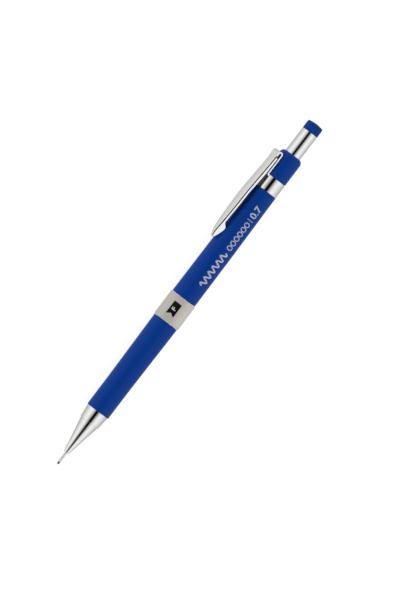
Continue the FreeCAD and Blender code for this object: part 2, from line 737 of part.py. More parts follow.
def all_pieces():
    """Every sub-part, from the writing end to the button."""
    yield from (make_lead(), make_lead_sleeve(), make_lead_retainer(), make_nose_cone())
    yield from (make_ferrule(), make_chuck(), make_chuck_ring(), make_guide_sleeve())
    yield from (make_return_spring(), make_connector(), make_reservoir())
    yield from make_spare_leads()
    yield from (make_grip_barrel(), make_indicator_collar(), make_grade_drum())
    yield from make_collar_washers()
    yield from (make_upper_barrel(), make_clip_band(), make_clip_arm(), make_top_section())
    yield from (make_push_tube(), make_button_cap(), make_eraser())


def main():
    """Build the pieces, check them all, then write one STEP file for each."""
    pieces = list(all_pieces())
    doc.recompute()
    for item in doc.Objects:
        assert not {"Invalid", "Error"} & set(item.State), f"{item.Label} did not compute"
    for piece in pieces:
        shape = piece.Shape
        assert not shape.isNull() and shape.isValid(), f"{piece.Label} has no valid shape"
        assert len(shape.Solids) == 1, f"{piece.Label} is not one solid"
    os.makedirs("parts", exist_ok=True)
    for piece in pieces:
        piece.Shape.exportStep(os.path.join("parts", f"{piece.Label}.step"))
        box = piece.Shape.BoundBox
        print(f"{piece.Label:18s} {piece.Shape.Volume:9.3f} mm3  x {box.XMin:8.3f} {box.XMax:8.3f}"
              f"  y {box.YMin:7.3f} {box.YMax:7.3f}  z {box.ZMin:7.3f} {box.ZMax:7.3f}")


main()
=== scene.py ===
"""Mechanical pencil on a plain pale floor: detailed meshes and materials round the CAD frame."""
import math
import bmesh
import bpy
from mathutils import Matrix, Vector


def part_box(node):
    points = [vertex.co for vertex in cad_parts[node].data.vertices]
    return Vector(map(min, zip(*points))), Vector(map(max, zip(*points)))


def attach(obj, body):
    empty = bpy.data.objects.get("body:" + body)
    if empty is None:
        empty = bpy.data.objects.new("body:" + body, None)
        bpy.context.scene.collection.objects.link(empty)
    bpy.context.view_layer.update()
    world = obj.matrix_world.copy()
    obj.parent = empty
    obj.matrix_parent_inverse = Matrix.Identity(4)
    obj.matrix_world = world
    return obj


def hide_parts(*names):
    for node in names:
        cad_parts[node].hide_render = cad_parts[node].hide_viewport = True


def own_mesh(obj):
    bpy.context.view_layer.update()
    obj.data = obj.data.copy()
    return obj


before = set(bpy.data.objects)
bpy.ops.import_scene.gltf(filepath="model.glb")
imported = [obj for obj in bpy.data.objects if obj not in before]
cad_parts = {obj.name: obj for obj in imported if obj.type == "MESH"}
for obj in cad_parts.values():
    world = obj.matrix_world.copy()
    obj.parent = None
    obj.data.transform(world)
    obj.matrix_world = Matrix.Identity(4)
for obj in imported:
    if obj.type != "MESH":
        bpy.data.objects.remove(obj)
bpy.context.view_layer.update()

# --- The pencil's own axes -------------------------------------------------------------------
# A point is given as a station (millimetres from the lead's tip towards the button), a radius or
# height in millimetres, and an angle round the axis, counted from the clip towards the side that
# carries the grade window.

MM = 0.001
CLIP_HEIGHT = 7.12            # clip's flat outer face above the axis
CLIP_WIDTH = 4.3
SHEET = 0.48                  # thickness of the clip's sheet
COLLAR_LOW, COLLAR_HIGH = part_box("indicator_collar")
AXIS = (COLLAR_LOW + COLLAR_HIGH) / 2
COLLAR_RADIUS = (COLLAR_HIGH.z - COLLAR_LOW.z) / 2 / MM
TIP_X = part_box("writing_lead")[1].x
ROLL = (math.asin(COLLAR_RADIUS / math.hypot(CLIP_HEIGHT, CLIP_WIDTH / 2))
        - math.atan2(CLIP_WIDTH / 2, CLIP_HEIGHT))
TO_CLIP = Vector((0, -math.cos(ROLL), -math.sin(ROLL)))
TO_SIDE = Vector((0, -math.sin(ROLL), math.cos(ROLL)))
TO_BUTTON = Vector((-1, 0, 0))
VIEW_ANGLE = math.radians(58)     # the camera's place round the axis
WINDOW_ANGLE = math.radians(53)   # the grade window's place round the axis
PRINT_ANGLE = math.radians(86)    # the barrel print's place round the axis


def out_from_axis(angle):
    """Unit vector square to the axis at an angle from the clip."""
    return math.cos(angle) * TO_CLIP + math.sin(angle) * TO_SIDE


def place(station, radius, out):
    """The row-frame point at a station and a radius along an outward direction."""
    return Vector((TIP_X - station * MM, AXIS.y, AXIS.z)) + radius * MM * out


def clip_place(station, height, across):
    """The row-frame point at a station, a height over the axis towards the clip, and across it."""
    return place(station, height, TO_CLIP) + across * MM * TO_SIDE


def span(node):
    """First and last station of a CAD node."""
    low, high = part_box(node)
    return (TIP_X - high.x) / MM, (TIP_X - low.x) / MM


def run_of(node):
    """First station and length of a CAD node."""
    first, last = span(node)
    return first, last - first


def linked(name, data):
    """An object that holds this data, linked into the scene."""
    made = bpy.data.objects.new(name, data)
    bpy.context.scene.collection.objects.link(made)
    return made


# --- Materials -------------------------------------------------------------------------------

GRAIN_DEPTH = 0.01                  # height of the grain that a relief raises
ROUND_GRAIN = (9000, 260, 260)      # lathe-turned: fine along the pencil, long round it
LONG_GRAIN = (260, 9000, 9000)      # drawn: long along the pencil


def grained(name, colour, roughness, metallic=0.0, grain=(4000, 4000, 4000), tone=0.05, relief=0.0,
            specular=0.5):
    """A surface whose colour varies a little with a noise, which may also raise its grain."""
    made = bpy.data.materials.new(name)
    made.use_nodes = True
    nodes, links = made.node_tree.nodes, made.node_tree.links
    shader = nodes["Principled BSDF"]
    shader.inputs["Metallic"].default_value = metallic
    shader.inputs["Roughness"].default_value = roughness
    shader.inputs["Specular IOR Level"].default_value = specular
    coordinates = nodes.new("ShaderNodeTexCoord")
    stretch = nodes.new("ShaderNodeMapping")
    stretch.inputs["Scale"].default_value = grain
    noise = nodes.new("ShaderNodeTexNoise")
    noise.inputs["Scale"].default_value = 1.0
    noise.inputs["Detail"].default_value = 3.0
    ramp = nodes.new("ShaderNodeValToRGB")
    for element, level in zip(ramp.color_ramp.elements, (1 - tone, 1 + tone)):
        element.color = (*(min(1.0, part * level) for part in colour), 1)
    links.new(coordinates.outputs["Object"], stretch.inputs["Vector"])
    links.new(stretch.outputs["Vector"], noise.inputs["Vector"])
    links.new(noise.outputs["Fac"], ramp.inputs["Fac"])
    links.new(ramp.outputs["Color"], shader.inputs["Base Color"])
    if relief:
        bump = nodes.new("ShaderNodeBump")
        bump.inputs["Strength"].default_value = relief
        bump.inputs["Distance"].default_value = GRAIN_DEPTH * MM
        links.new(noise.outputs["Fac"], bump.inputs["Height"])
        links.new(bump.outputs["Normal"], shader.inputs["Normal"])
    return made


LOOKS = {
    "blue_plastic": grained("blue_plastic", (0.0022, 0.055, 0.36), 0.36, grain=(3500, 3500, 3500),
                            tone=0.08, relief=0.25, specular=0.08),
    "chrome": grained("chrome", (0.82, 0.815, 0.80), 0.03, 1.0, grain=ROUND_GRAIN, tone=0.02),
    "satin_aluminium": grained("satin_aluminium", (0.82, 0.795, 0.75), 0.8, 1.0,
                               grain=ROUND_GRAIN, tone=0.06, relief=0.35),
    "clip_steel": grained("clip_steel", (0.96, 0.955, 0.945), 0.27, 1.0, grain=LONG_GRAIN,
                          tone=0.04, relief=0.2),
    "clip_polish": grained("clip_polish", (0.85, 0.845, 0.83), 0.06, 1.0, grain=LONG_GRAIN,
                           tone=0.03),
    # Painted shade: a darker copy of the clip's steel for its hollows, standing in for the shadow
    # that falls inside the same steel
    "clip_inside": grained("clip_inside", (0.26, 0.26, 0.25), 0.45, 1.0, grain=LONG_GRAIN,
                           tone=0.15),
    "bright_steel": grained("bright_steel", (0.93, 0.92, 0.90), 0.6, 1.0, grain=ROUND_GRAIN,
                            tone=0.04),
    "steel": grained("steel", (0.60, 0.60, 0.59), 0.25, 1.0, grain=ROUND_GRAIN, tone=0.05),
    "brass": grained("brass", (0.72, 0.53, 0.24), 0.25, 1.0, grain=ROUND_GRAIN, tone=0.06,
                     relief=0.2),
    "graphite": grained("graphite", (0.07, 0.07, 0.075), 0.45, 0.3, grain=LONG_GRAIN, tone=0.15),
    "black_plastic": grained("black_plastic", (0.004, 0.004, 0.0045), 0.5, relief=0.2,
                             specular=0.2),
    "black_rubber": grained("black_rubber", (0.015, 0.015, 0.016), 0.8, tone=0.2, relief=0.3),
    "white_rubber": grained("white_rubber", (0.82, 0.81, 0.77), 0.75, tone=0.06, relief=0.4),
    "clear_plastic": grained("clear_plastic", (0.62, 0.66, 0.70), 0.22, tone=0.04),
    "silver_print": grained("silver_print", (0.62, 0.62, 0.70), 0.45, 0.3, tone=0.06),
    "white_print": grained("white_print", (0.9, 0.9, 0.89), 0.55, tone=0.03),
}


def dress_faces(piece, choose):
    """Give each face of a piece the look that choose(normal, height, across, station) names."""
    names = []
    for face in piece.data.polygons:
        offset = face.center - Vector((TIP_X, AXIS.y, AXIS.z))
        name = choose(face.normal, offset.dot(TO_CLIP) / MM, offset.dot(TO_SIDE) / MM,
                      offset.dot(TO_BUTTON) / MM)
        if name not in names:
            names.append(name)
            piece.data.materials.append(LOOKS[name])
        face.material_index = names.index(name)


def fit(piece, body, look, *nodes, slot=None):
    """Give a finished piece its material if it has none, hang it on its body and hide the nodes it
    stands for; slot is not used.
    """
    if not piece.data.materials:
        piece.data.materials.append(LOOKS[look])
    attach(piece, body)
    if nodes:
        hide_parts(*nodes)
    return piece


# --- Mesh tools ------------------------------------------------------------------------------

SEGMENTS = 192
SMOOTH_UP_TO = math.radians(30)
SOFTEN_FROM = math.radians(50)      # edges sharper than this are rounded by softened()
SMALL_SEGMENTS = 96                 # for the thin pieces
EDGE_ROUND = 0.05                   # usual rounding of a bevelled edge


def finished(mesh_builder, name):
    """An object from a bmesh: outward faces, smooth but for its real edges."""
    bmesh.ops.recalc_face_normals(mesh_builder, faces=mesh_builder.faces)
    if mesh_builder.calc_volume(signed=True) < 0:
        bmesh.ops.reverse_faces(mesh_builder, faces=mesh_builder.faces)
    mesh = bpy.data.meshes.new(name)
    mesh_builder.to_mesh(mesh)
    mesh_builder.free()
    mesh.shade_smooth()
    mesh.set_sharp_from_angle(angle=SMOOTH_UP_TO)
    return linked(name, mesh)


def baked(made):
    """Replace an object's mesh by the result of its modifiers."""
    graph = bpy.context.evaluated_depsgraph_get()
    mesh = bpy.data.meshes.new_from_object(made.evaluated_get(graph))
    made.modifiers.clear()
    made.data = mesh
    return made


def softened(made, width=EDGE_ROUND, steps=2):
    """Round the real edges of an object by a small width."""
    bevel = made.modifiers.new("edges", "BEVEL")
    bevel.width = width * MM
    bevel.segments = steps
    bevel.limit_method = "ANGLE"
    bevel.angle_limit = SOFTEN_FROM
    bevel.harden_normals = True
    return baked(made)


def rounded(corners, steps=4, support=0.4):
    """Outline through (station, radius, rounding) corners, each rounding an arc with a short
    straight on both sides that keeps the long faces' shading flat."""
    points = []
    for index, (station, radius, rounding) in enumerate(corners):
        here = Vector((station, radius))
        if not rounding:
            points.append(here)
            continue
        before = (Vector(corners[index - 1][:2]) - here).normalized()
        after = (Vector(corners[(index + 1) % len(corners)][:2]) - here).normalized()
        half = before.angle(after) / 2
        set_back = rounding / math.tan(half)
        centre = here + (before + after).normalized() * rounding / math.sin(half)
        start = here + before * set_back - centre
        end = here + after * set_back - centre
        points.append(centre + start + before * rounding * support)
        for step in range(steps + 1):
            points.append(centre + start.slerp(end, step / steps).normalized() * rounding)
        points.append(centre + end + after * rounding * support)
    return points


def turned(name, first, corners, segments=SEGMENTS, shape=None):
    """A closed skin: an outline of (offset from the first station, radius, rounding) corners
    turned about the axis. shape(offset, radius, angle) may change the radius."""
    outline = rounded(corners)
    builder = bmesh.new()
    rings = []
    for turn in range(segments):
        angle = 2 * math.pi * turn / segments
        out = out_from_axis(angle)
        ring = []
        for offset, radius in outline:
            if shape:
                radius = shape(offset, radius, angle)
            ring.append(builder.verts.new(place(first + offset, radius, out)))
        rings.append(ring)
    count = len(outline)
    for turn, ring in enumerate(rings):
        following = rings[(turn + 1) % segments]
        for index in range(count):
            after = (index + 1) % count
            if outline[index].y == 0 and outline[after].y == 0:
                continue
            builder.faces.new((ring[index], ring[after], following[after], following[index]))
    bmesh.ops.remove_doubles(builder, verts=builder.verts, dist=1e-7)
    return finished(builder, name)


def prism(name, outline, point, near, far):
    """A closed prism: an outline of pairs, put in space by point(first, second, depth)."""
    builder = bmesh.new()
    low = [builder.verts.new(point(first, second, near)) for first, second in outline]
    high = [builder.verts.new(point(first, second, far)) for first, second in outline]
    builder.faces.new(low)
    builder.faces.new(high)
    count = len(outline)
    for index in range(count):
        after = (index + 1) % count
        builder.faces.new((low[index], low[after], high[after], high[index]))
    return finished(builder, name)


def lofted(name, sections):
    """A closed skin over sections of equally many points."""
    builder = bmesh.new()
    rings = [[builder.verts.new(point) for point in section] for section in sections]
    count = len(rings[0])
    for ring, following in zip(rings, rings[1:]):
        for index in range(count):
            after = (index + 1) % count
            builder.faces.new((ring[index], ring[after], following[after], following[index]))
    builder.faces.new(rings[0])
    builder.faces.new(rings[-1])
    return finished(builder, name)


def arc_points(centre, radius, start, end, steps=12):
    """Points of an arc in the clip's side view, its angles in degrees from the button end."""
    points = []
    for step in range(steps + 1):
        angle = math.radians(start + (end - start) * step / steps)
        points.append((centre[0] + radius * math.cos(angle), centre[1] + radius * math.sin(angle)))
    return points


def smooth_curve(points):
    """A smooth function through (x, y) points that never runs past them."""
    slopes = [(y1 - y0) / (x1 - x0) for (x0, y0), (x1, y1) in zip(points, points[1:])]
    leans = [0.0]
    for left, right in zip(slopes, slopes[1:]):
        leans.append(0.0 if left * right <= 0 else 2 * left * right / (left + right))
    leans.append(0.0)
    pieces = list(zip(points, points[1:], leans, leans[1:]))

    def height(x):
        (x0, y0), (x1, y1), lean0, lean1 = next(
            (piece for piece in pieces if x <= piece[1][0]), pieces[-1])
        step = x1 - x0
        t = min(1.0, max(0.0, (x - x0) / step))
        return (y0 * (1 + 2 * t) * (1 - t) ** 2 + y1 * t * t * (3 - 2 * t)
                + step * (lean0 * t * (1 - t) ** 2 - lean1 * t * t * (1 - t)))
    return height


# --- Writing end -----------------------------------------------------------------------------

BARREL_BORE = 2.6             # inner radius of both barrels
UPPER_FRONT = 4.65            # outer radius of both barrels at the collar
LEAD_SEGMENTS = 64
THREAD_START, THREAD_END = 13.7, 19.1     # from the cone's tip
THREAD_CREST = 2.9
THREAD_DEPTH = 0.28
THREAD_PITCH = 0.75
THREAD_STEPS = 8              # outline points in one pitch
WIRE_RADIUS = 0.15
COIL_RADIUS = 1.5             # from the axis to the middle of the wire
COIL_TURNS = 7.5
COIL_STEPS = 32               # sections in one turn
WIRE_SIDES = 10


def thread(offset, radius, angle):
    """Cut a right-hand thread into the cone's spigot."""
    if abs(radius - THREAD_CREST) > 1e-4 or not THREAD_START <= offset <= THREAD_END:
        return radius
    phase = (offset - THREAD_START) / THREAD_PITCH - angle / (2 * math.pi)
    groove = 1 - abs(2 * (phase % 1) - 1)
    fade = min(1.0, (offset - THREAD_START) / THREAD_PITCH, (THREAD_END - offset) / THREAD_PITCH)
    return radius - THREAD_DEPTH * groove * fade


def make_nose():
    """Lead, sleeve, retainer and the screwed cone."""
    first, length = run_of("writing_lead")
    lead = turned("pencil_lead", first, [
        (0, 0, 0), (0, 0.35, 0.12), (length, 0.35, 0.05), (length, 0, 0)],
        LEAD_SEGMENTS)
    fit(lead, "lead", "graphite", "writing_lead")
    first, length = run_of("lead_sleeve")
    sleeve = turned("guide_pipe", first, [
        (0, 0.4, 0.03), (0, 0.525, 0.06), (length, 0.525, 0), (length, 0.4, 0)],
        SMALL_SEGMENTS)
    fit(sleeve, "nose", "bright_steel", "lead_sleeve", slot="steel")
    first, length = run_of("lead_retainer")
    bush = turned("retainer_bush", first, [
        (0, 0.38, 0.05), (0, 1.1, 0.2), (length, 1.1, 0.2), (length, 0.38, 0.05)],
        SMALL_SEGMENTS)
    fit(bush, "nose", "black_rubber", "lead_retainer")
    steps = int((THREAD_END - THREAD_START) / THREAD_PITCH * THREAD_STEPS)
    run = [THREAD_START + step * THREAD_PITCH / THREAD_STEPS for step in range(steps + 1)]
    first, length = run_of("nose_cone")
    cone = turned("cone", first, [
        (0, 0.545, 0.05), (0, 0.965, 0.22), (12.6, 3.385, 0.07), (12.6, THREAD_CREST, 0),
        *((offset, THREAD_CREST, 0) for offset in run),
        (length, THREAD_CREST, 0.2), (length, 2.25, 0), (10.22, 2.25, 0), (10.22, 1.62, 0),
        (5.54, 1.62, 0), (5.54, 1.12, 0), (3.3, 1.12, 0), (3.3, 0.545, 0)], shape=thread)
    fit(cone, "nose", "chrome", "nose_cone")


def make_front_barrel():
    """Ferrule and grip."""
    first, length = run_of("nose_ferrule")
    ferrule = turned("ferrule", first, [
        (0, 2.95, 0), (0, 3.585, 0.07), (4.72, 4.085, 0.07), (4.72, 3.5, 0), (length, 3.5, 0.1),
        (length, 2.95, 0)])
    fit(ferrule, "barrel", "chrome", "nose_ferrule")
    first, length = run_of("grip_barrel")
    grip = turned("grip", first, [
        (0, 3.52, 0), (0, 4.335, 0.12), (10.88, 4.335, 0), (length, UPPER_FRONT, 0.08),
        (length, 3.42, 0), (29.86, 3.42, 0), (29.86, BARREL_BORE, 0), (3.58, BARREL_BORE, 0),
        (3.58, 2.95, 0), (2.9, 2.95, 0), (2.9, 3.52, 0)])
    fit(grip, "barrel", "blue_plastic", "grip_barrel")


def make_spring():
    """Return spring: a coil of wire along the spring's length."""
    first, length = run_of("return_spring")
    count = round(COIL_TURNS * COIL_STEPS)
    sections = []
    for step in range(count + 1):
        share = step / count
        out = out_from_axis(2 * math.pi * COIL_TURNS * share)
        station = first + WIRE_RADIUS + (length - 2 * WIRE_RADIUS) * share
        centre = place(station, COIL_RADIUS, out)
        turns = [2 * math.pi * side / WIRE_SIDES for side in range(WIRE_SIDES)]
        sections.append([
            centre + WIRE_RADIUS * MM * (math.cos(turn) * out + math.sin(turn) * TO_BUTTON)
            for turn in turns])
    coil = lofted("spring_coil", sections)
    fit(coil, "barrel", "steel", "return_spring")
    place(first, 0, TO_CLIP)
    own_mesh(coil)


# --- Grade collar and drum -------------------------------------------------------------------

WINDOW_FRONT, WINDOW_BACK = 2.4, 7.5     # from the collar's front
WINDOW_WIDTH = 3.0
WINDOW_NOTCH = 1.0                        # depth of the swallowtail
COLLAR_CHAMFER = 0.45
COLLAR_SEGMENTS = 256
GRADES = ["F", "HB", "B", "2B", "2H", "H"]
GRADE_OFFSET = 4.45                       # the letters' left edge, from the collar's front
GRADE_HEIGHT = 1.55
GRADE_BOLD = 0.03                         # outward growth, as a share of the type size
LETTER_STRETCH = 1.15                     # along the pencil
FONT_SIZE_PER_HEIGHT = 1 / 0.7            # the built-in typeface's capitals are 0.7 of its size
INK_LIFT = 0.012                          # middle of the raised print above its surface
INK_THICKNESS = 0.02
STRIP = 0.2                               # width of the strips that print is wrapped in
DRUM_RADIUS = 4.2


def make_collar():
    """Turning collar with a swallowtail window over the grade drum."""
    first, length = run_of("indicator_collar")
    collar = turned("collar", first, [
        (0, 4.25, 0), (0, 4.7, 0.04), (COLLAR_CHAMFER, COLLAR_RADIUS, 0.06),
        (length - COLLAR_CHAMFER, COLLAR_RADIUS, 0.06), (length, 4.7, 0.04),
        (length, 4.25, 0)], COLLAR_SEGMENTS)
    out = out_from_axis(WINDOW_ANGLE)
    across = out.cross(TO_BUTTON)
    half = WINDOW_WIDTH / 2

    def window_place(offset, side, depth):
        return place(first + offset, depth, out) + side * MM * across

    cutter = prism("window_cutter", [
        (WINDOW_FRONT, half), (WINDOW_BACK, half), (WINDOW_BACK, -half), (WINDOW_FRONT, -half),
        (WINDOW_FRONT + WINDOW_NOTCH, 0)], window_place, COLLAR_RADIUS / 2, COLLAR_RADIUS + 1)
    cut = collar.modifiers.new("window", "BOOLEAN")
    cut.operation = "DIFFERENCE"
    cut.solver = "EXACT"
    cut.object = cutter
    baked(collar)
    bpy.data.objects.remove(cutter)
    softened(collar)
    fit(collar, "collar", "satin_aluminium", "indicator_collar")


def lettering(name, text, height, wrap, bold=0.0):
    """Raised print from the built-in typeface: wrap(x, y) puts its flat points on the pencil."""
    curve = bpy.data.curves.new(name, "FONT")
    curve.body = text
    curve.size = height * FONT_SIZE_PER_HEIGHT * MM
    curve.offset = bold * curve.size
    curve.align_y = "CENTER"
    source = linked(name + "_text", curve)
    bpy.context.view_layer.update()
    graph = bpy.context.evaluated_depsgraph_get()
    mesh = bpy.data.meshes.new_from_object(source.evaluated_get(graph))
    bpy.data.objects.remove(source)
    builder = bmesh.new()
    builder.from_mesh(mesh)
    return wrapped(builder, name, wrap)


def wrapped(builder, name, wrap):
    """Slice a flat drawing into narrow strips, wrap them round the pencil and thicken them."""
    highest = max(abs(vertex.co.y) for vertex in builder.verts)
    count = int(highest / (STRIP * MM)) + 1
    for index in range(-count, count + 1):
        everything = builder.verts[:] + builder.edges[:] + builder.faces[:]
        bmesh.ops.bisect_plane(builder, geom=everything, plane_co=(0, index * STRIP * MM, 0),
                               plane_no=(0, 1, 0))
    for vertex in builder.verts:
        vertex.co = wrap(vertex.co.x / MM, vertex.co.y / MM)
    made = finished(builder, name)
    shell = made.modifiers.new("ink", "SOLIDIFY")
    shell.thickness = INK_THICKNESS * MM
    shell.offset = 0
    return baked(made)


def make_drum():
    """Black drum under the collar, with a lead grade every sixth of a turn."""
    first, length = run_of("grade_drum")
    drum = turned("drum", first, [
        (0, 3.42, 0), (0, DRUM_RADIUS, 0.1), (length, DRUM_RADIUS, 0.1), (length, 3.42, 0)])
    fit(drum, "barrel", "black_plastic", "grade_drum")
    start = span("indicator_collar")[0] + GRADE_OFFSET
    for index, grade in enumerate(GRADES):
        middle = WINDOW_ANGLE + 2 * math.pi * index / len(GRADES)

        def on_drum(x, y, middle=middle):
            turn = middle - y / DRUM_RADIUS
            return place(start + LETTER_STRETCH * x, DRUM_RADIUS + INK_LIFT, out_from_axis(turn))

        letters = lettering(f"grade_{grade}", grade, GRADE_HEIGHT, on_drum, GRADE_BOLD)
        fit(letters, "barrel", "white_print", slot="white_rubber")


# --- Rear barrel and its print ---------------------------------------------------------------

UPPER_STEP = 17.35            # from the neck's front to the visible barrel
UPPER_END = 62.3              # from the neck's front to the rear neck
UPPER_OUTLINE = [(UPPER_STEP, UPPER_FRONT), (38.95, 4.54), (UPPER_END, 4.26)]
WAVE_TURNS = 6
WAVE_STEPS = 24               # outline points in one turn of the wave
RING_COUNT = 6
RING_STEPS = 32
RING_SHARE = 0.38             # a ring's half width, as a share of its pitch
# The rows of plain marks have a first station, a length, a height and a stroke.
WAVE_ROW = (76.3, 13.4, 2.1, 0.55)
RING_ROW = (91.0, 11.4, 1.9, 0.34)
BAR_START = 103.3             # thin bar before the lead size
BAR_HEIGHT = 2.5
BAR_STROKE = 0.22
SIZE_START = 104.3            # lead size figures
SIZE_HEIGHT = 2.5
SIZE_BOLD = 0.02              # outward growth, as a share of the type size


def upper_radius(station):
    """Outer radius of the rear barrel at a station."""
    offset = station - span("upper_barrel")[0]
    (x0, r0), (x1, r1) = UPPER_OUTLINE[:2] if offset < UPPER_OUTLINE[1][0] else UPPER_OUTLINE[1:]
    return r0 + (r1 - r0) * (offset - x0) / (x1 - x0)


def make_upper_barrel():
    """Rear barrel: front neck under the collar, rear neck under the clip's band."""
    first, length = run_of("upper_barrel")
    barrel = turned("rear_barrel", first, [
        (0, BARREL_BORE, 0), (0, 3.4, 0.1), (UPPER_STEP, 3.4, 0), (*UPPER_OUTLINE[0], 0.08),
        (*UPPER_OUTLINE[1], 0), (*UPPER_OUTLINE[2], 0.06), (UPPER_END, 3.7, 0),
        (length, 3.7, 0.1), (length, 3.1, 0), (53.0, 3.1, 0), (53.0, BARREL_BORE, 0)])
    fit(barrel, "barrel", "blue_plastic", "upper_barrel")


def ribbon(builder, stroke, path, closed=False):
    """A flat stroke along a path of points."""
    half = stroke / 2
    count = len(path)
    pairs = []
    for index, here in enumerate(path):
        before = path[index - 1] if index or closed else here
        after = path[(index + 1) % count] if index < count - 1 or closed else here
        way = (after - before).normalized()
        side = Vector((-way.y, way.x)) * half
        edges = (here - side, here + side)
        pairs.append([builder.verts.new((*(point * MM), 0)) for point in edges])
    for index in range(count if closed else count - 1):
        following = pairs[(index + 1) % count]
        builder.faces.new((*pairs[index], *reversed(following)))


def draw_wave(builder, length, height, stroke):
    """A bold wave that runs along the barrel."""
    count = WAVE_STEPS * WAVE_TURNS
    ribbon(builder, stroke, [
        Vector((length * step / count, height / 2 * math.sin(2 * math.pi * step / WAVE_STEPS)))
        for step in range(count + 1)])


def draw_rings(builder, length, height, stroke):
    """A row of thin upright rings."""
    pitch = length / RING_COUNT
    for index in range(RING_COUNT):
        centre = Vector(((index + 0.5) * pitch, 0))
        turns = [2 * math.pi * step / RING_STEPS for step in range(RING_STEPS)]
        ribbon(builder, stroke, [
            centre + Vector((RING_SHARE * pitch * math.cos(turn), height / 2 * math.sin(turn)))
            for turn in turns], closed=True)


def draw_bar(builder):
    """A thin upright bar."""
    ribbon(builder, BAR_STROKE, [Vector((0, -BAR_HEIGHT / 2)), Vector((0, BAR_HEIGHT / 2))])


def make_print():
    """Silver print on the rear barrel: a bold wave, a row of rings, a bar and the lead size."""
    def on_barrel(start):
        def wrap(x, y):
            radius = upper_radius(start + x) + INK_LIFT
            return place(start + x, radius, out_from_axis(PRINT_ANGLE - y / radius))
        return wrap

    rows = [("print_wave", draw_wave, *WAVE_ROW), ("print_rings", draw_rings, *RING_ROW),
            ("print_divider", draw_bar, BAR_START)]
    pieces = []
    for name, draw, start, *sizes in rows:
        builder = bmesh.new()
        draw(builder, *sizes)
        pieces.append(wrapped(builder, name, on_barrel(start)))
    pieces.append(
        lettering("print_lead_size", "0.7", SIZE_HEIGHT, on_barrel(SIZE_START), SIZE_BOLD))
    for piece in pieces:
        fit(piece, "barrel", "silver_print", slot="satin_aluminium")


# --- Clip ------------------------------------------------------------------------------------

FOLD_RADIUS = 0.975
BAND_LENGTH = 5.15
LEAF_UNDER = 4.245            # the leaf's lower face above the axis
LEAF_FOOT = 3.8               # height above the axis where the leaf leaves the band
LEAF_RISE = 1.5               # length of its slope up from the band, in sheets
PIVOT_BACK = 1.17             # pivot line, from the fold's centre
PIVOT_GAP = 0.01
FLAT_FRONT, FLAT_BACK = 4.5, 14.5     # the arm's level stretch, from its free end
NOSE_DROP = 0.8
NOSE_CURVE = 2.7              # power that the nose drops with
NOSE_ROUND = 0.75             # length of the arm's rounded end
NOSE_STEPS = 8
BACK_EASE = 0.87              # power that shifts the slope from the fold to the level stretch
# The arm's taper: distance from its free end and half width.
ARM_TAPER = [(NOSE_ROUND, 0.645), (3.6, 1.2255), (8.3, 1.72), (FLAT_BACK + 2, CLIP_WIDTH / 2)]
WALL_DEPTH = 1.07
FOOT_LEVEL = 6.5              # where the foot's dip ends, from the arm's free end
# Foot of the side walls: distance from the free end and height above the axis in the dip, then
# share of the run from the dip to the fold and extra depth.
FOOT_DIP = [(0.0, 5.84), (0.6, 5.52), (1.8, 4.97), (2.9, 4.59), (4.0, 4.44), (4.9, 4.58),
            (5.6, 5.29), (6.1, 5.86)]
FOOT_RUN = [(0.0, 0.0), (0.42, 0.05), (0.59, 0.4), (0.79, 0.8), (0.97, 0.88), (1.0, 0.88)]
EDGE_FLAT = 0.38              # polished flat along the arm's upper edges
EDGE_FLAT_WIDE = 0.5          # its limit where the arm is narrow, as a share of the half width
EDGE_FLAT_DEEP = 1.1          # and its limit as a share of the arm's thickness
EDGE_LEAN = math.radians(58)  # as the camera stands, so that the flat shows as a dark line
CROWN = 0.15                  # fall of the arm's face from its middle to its edges
CROWN_SHARES = (1, 0.75, 0.5, 0.25)
HOLLOW_LEAST = 0.3            # least half width between the side walls, as a share of the arm's
WALL_LEAST = 0.02             # least depth of a side wall
FINE_FRONT = 7.0              # length of the finely divided front, from the free end
FINE_STEP, LONG_STEP, BACK_STEP = 0.2, 0.7, 0.16
BACK_TURNS = (25, 45, 60, 72)     # degrees of the rounded back end's sections
ARM_EDGE_ROUND = 0.04
SKIN_BELOW, SKIN_ABOVE = 0.4, 0.3     # depths under the leaf's outside that count as inside, which gets painted shade
FACING = 0.5                  # part of a face's normal that counts as facing a way
FACING_UP = 0.9               # and as level
WALL_SHARE = 0.7              # part of the sheet's thickness that counts as a side wall
PAINTED_SHADE_FRONT = 2              # where the painted shade inside the channel starts, from the free end


def make_clip_band():
    """Band round the rear neck, and the leaf and fold that the arm springs from."""
    first, last = span("clip_band")
    band = turned("band", first, [
        (0, 3.72, 0), (0, 4.2, 0.06), (BAND_LENGTH, 4.2, 0.06), (BAND_LENGTH, 3.72, 0)])
    fit(band, "barrel", "chrome", "clip_band")
    centre = last - FOLD_RADIUS
    middle = LEAF_UNDER + FOLD_RADIUS
    top = LEAF_UNDER + 2 * FOLD_RADIUS
    pivot = (centre - PIVOT_BACK, top - SHEET / 2)
    groove = SHEET / 2 + PIVOT_GAP
    lip = math.degrees(math.asin(SHEET / 2 / groove))
    band_back = first + BAND_LENGTH
    rise = band_back - LEAF_RISE * SHEET
    outline = [
        (rise, LEAF_FOOT), (rise + SHEET, LEAF_UNDER + SHEET),
        *arc_points((centre, middle), FOLD_RADIUS - SHEET, -90, 90),
        *arc_points(pivot, groove, -lip, lip),
        *arc_points((centre, middle), FOLD_RADIUS, 90, -90),
        (band_back, LEAF_UNDER), (band_back, LEAF_FOOT)]
    half = CLIP_WIDTH / 2
    leaf = softened(prism("leaf_and_fold", outline, clip_place, -half, half))
    fold = Vector((centre, middle))

    def choose(normal, height, across, station):
        if abs(normal.dot(TO_SIDE)) > FACING:
            return "clip_polish"
        # Faces inside the fold and in the gap between leaf and arm get painted shade
        away = (Vector((station, height)) - fold).length
        in_fold = station > centre and away < FOLD_RADIUS - SKIN_BELOW
        in_gap = station < centre and LEAF_UNDER + SKIN_BELOW < height < top - SKIN_ABOVE
        return "clip_inside" if in_fold or in_gap else "clip_steel"
    dress_faces(leaf, choose)
    fit(leaf, "barrel", "clip_steel")


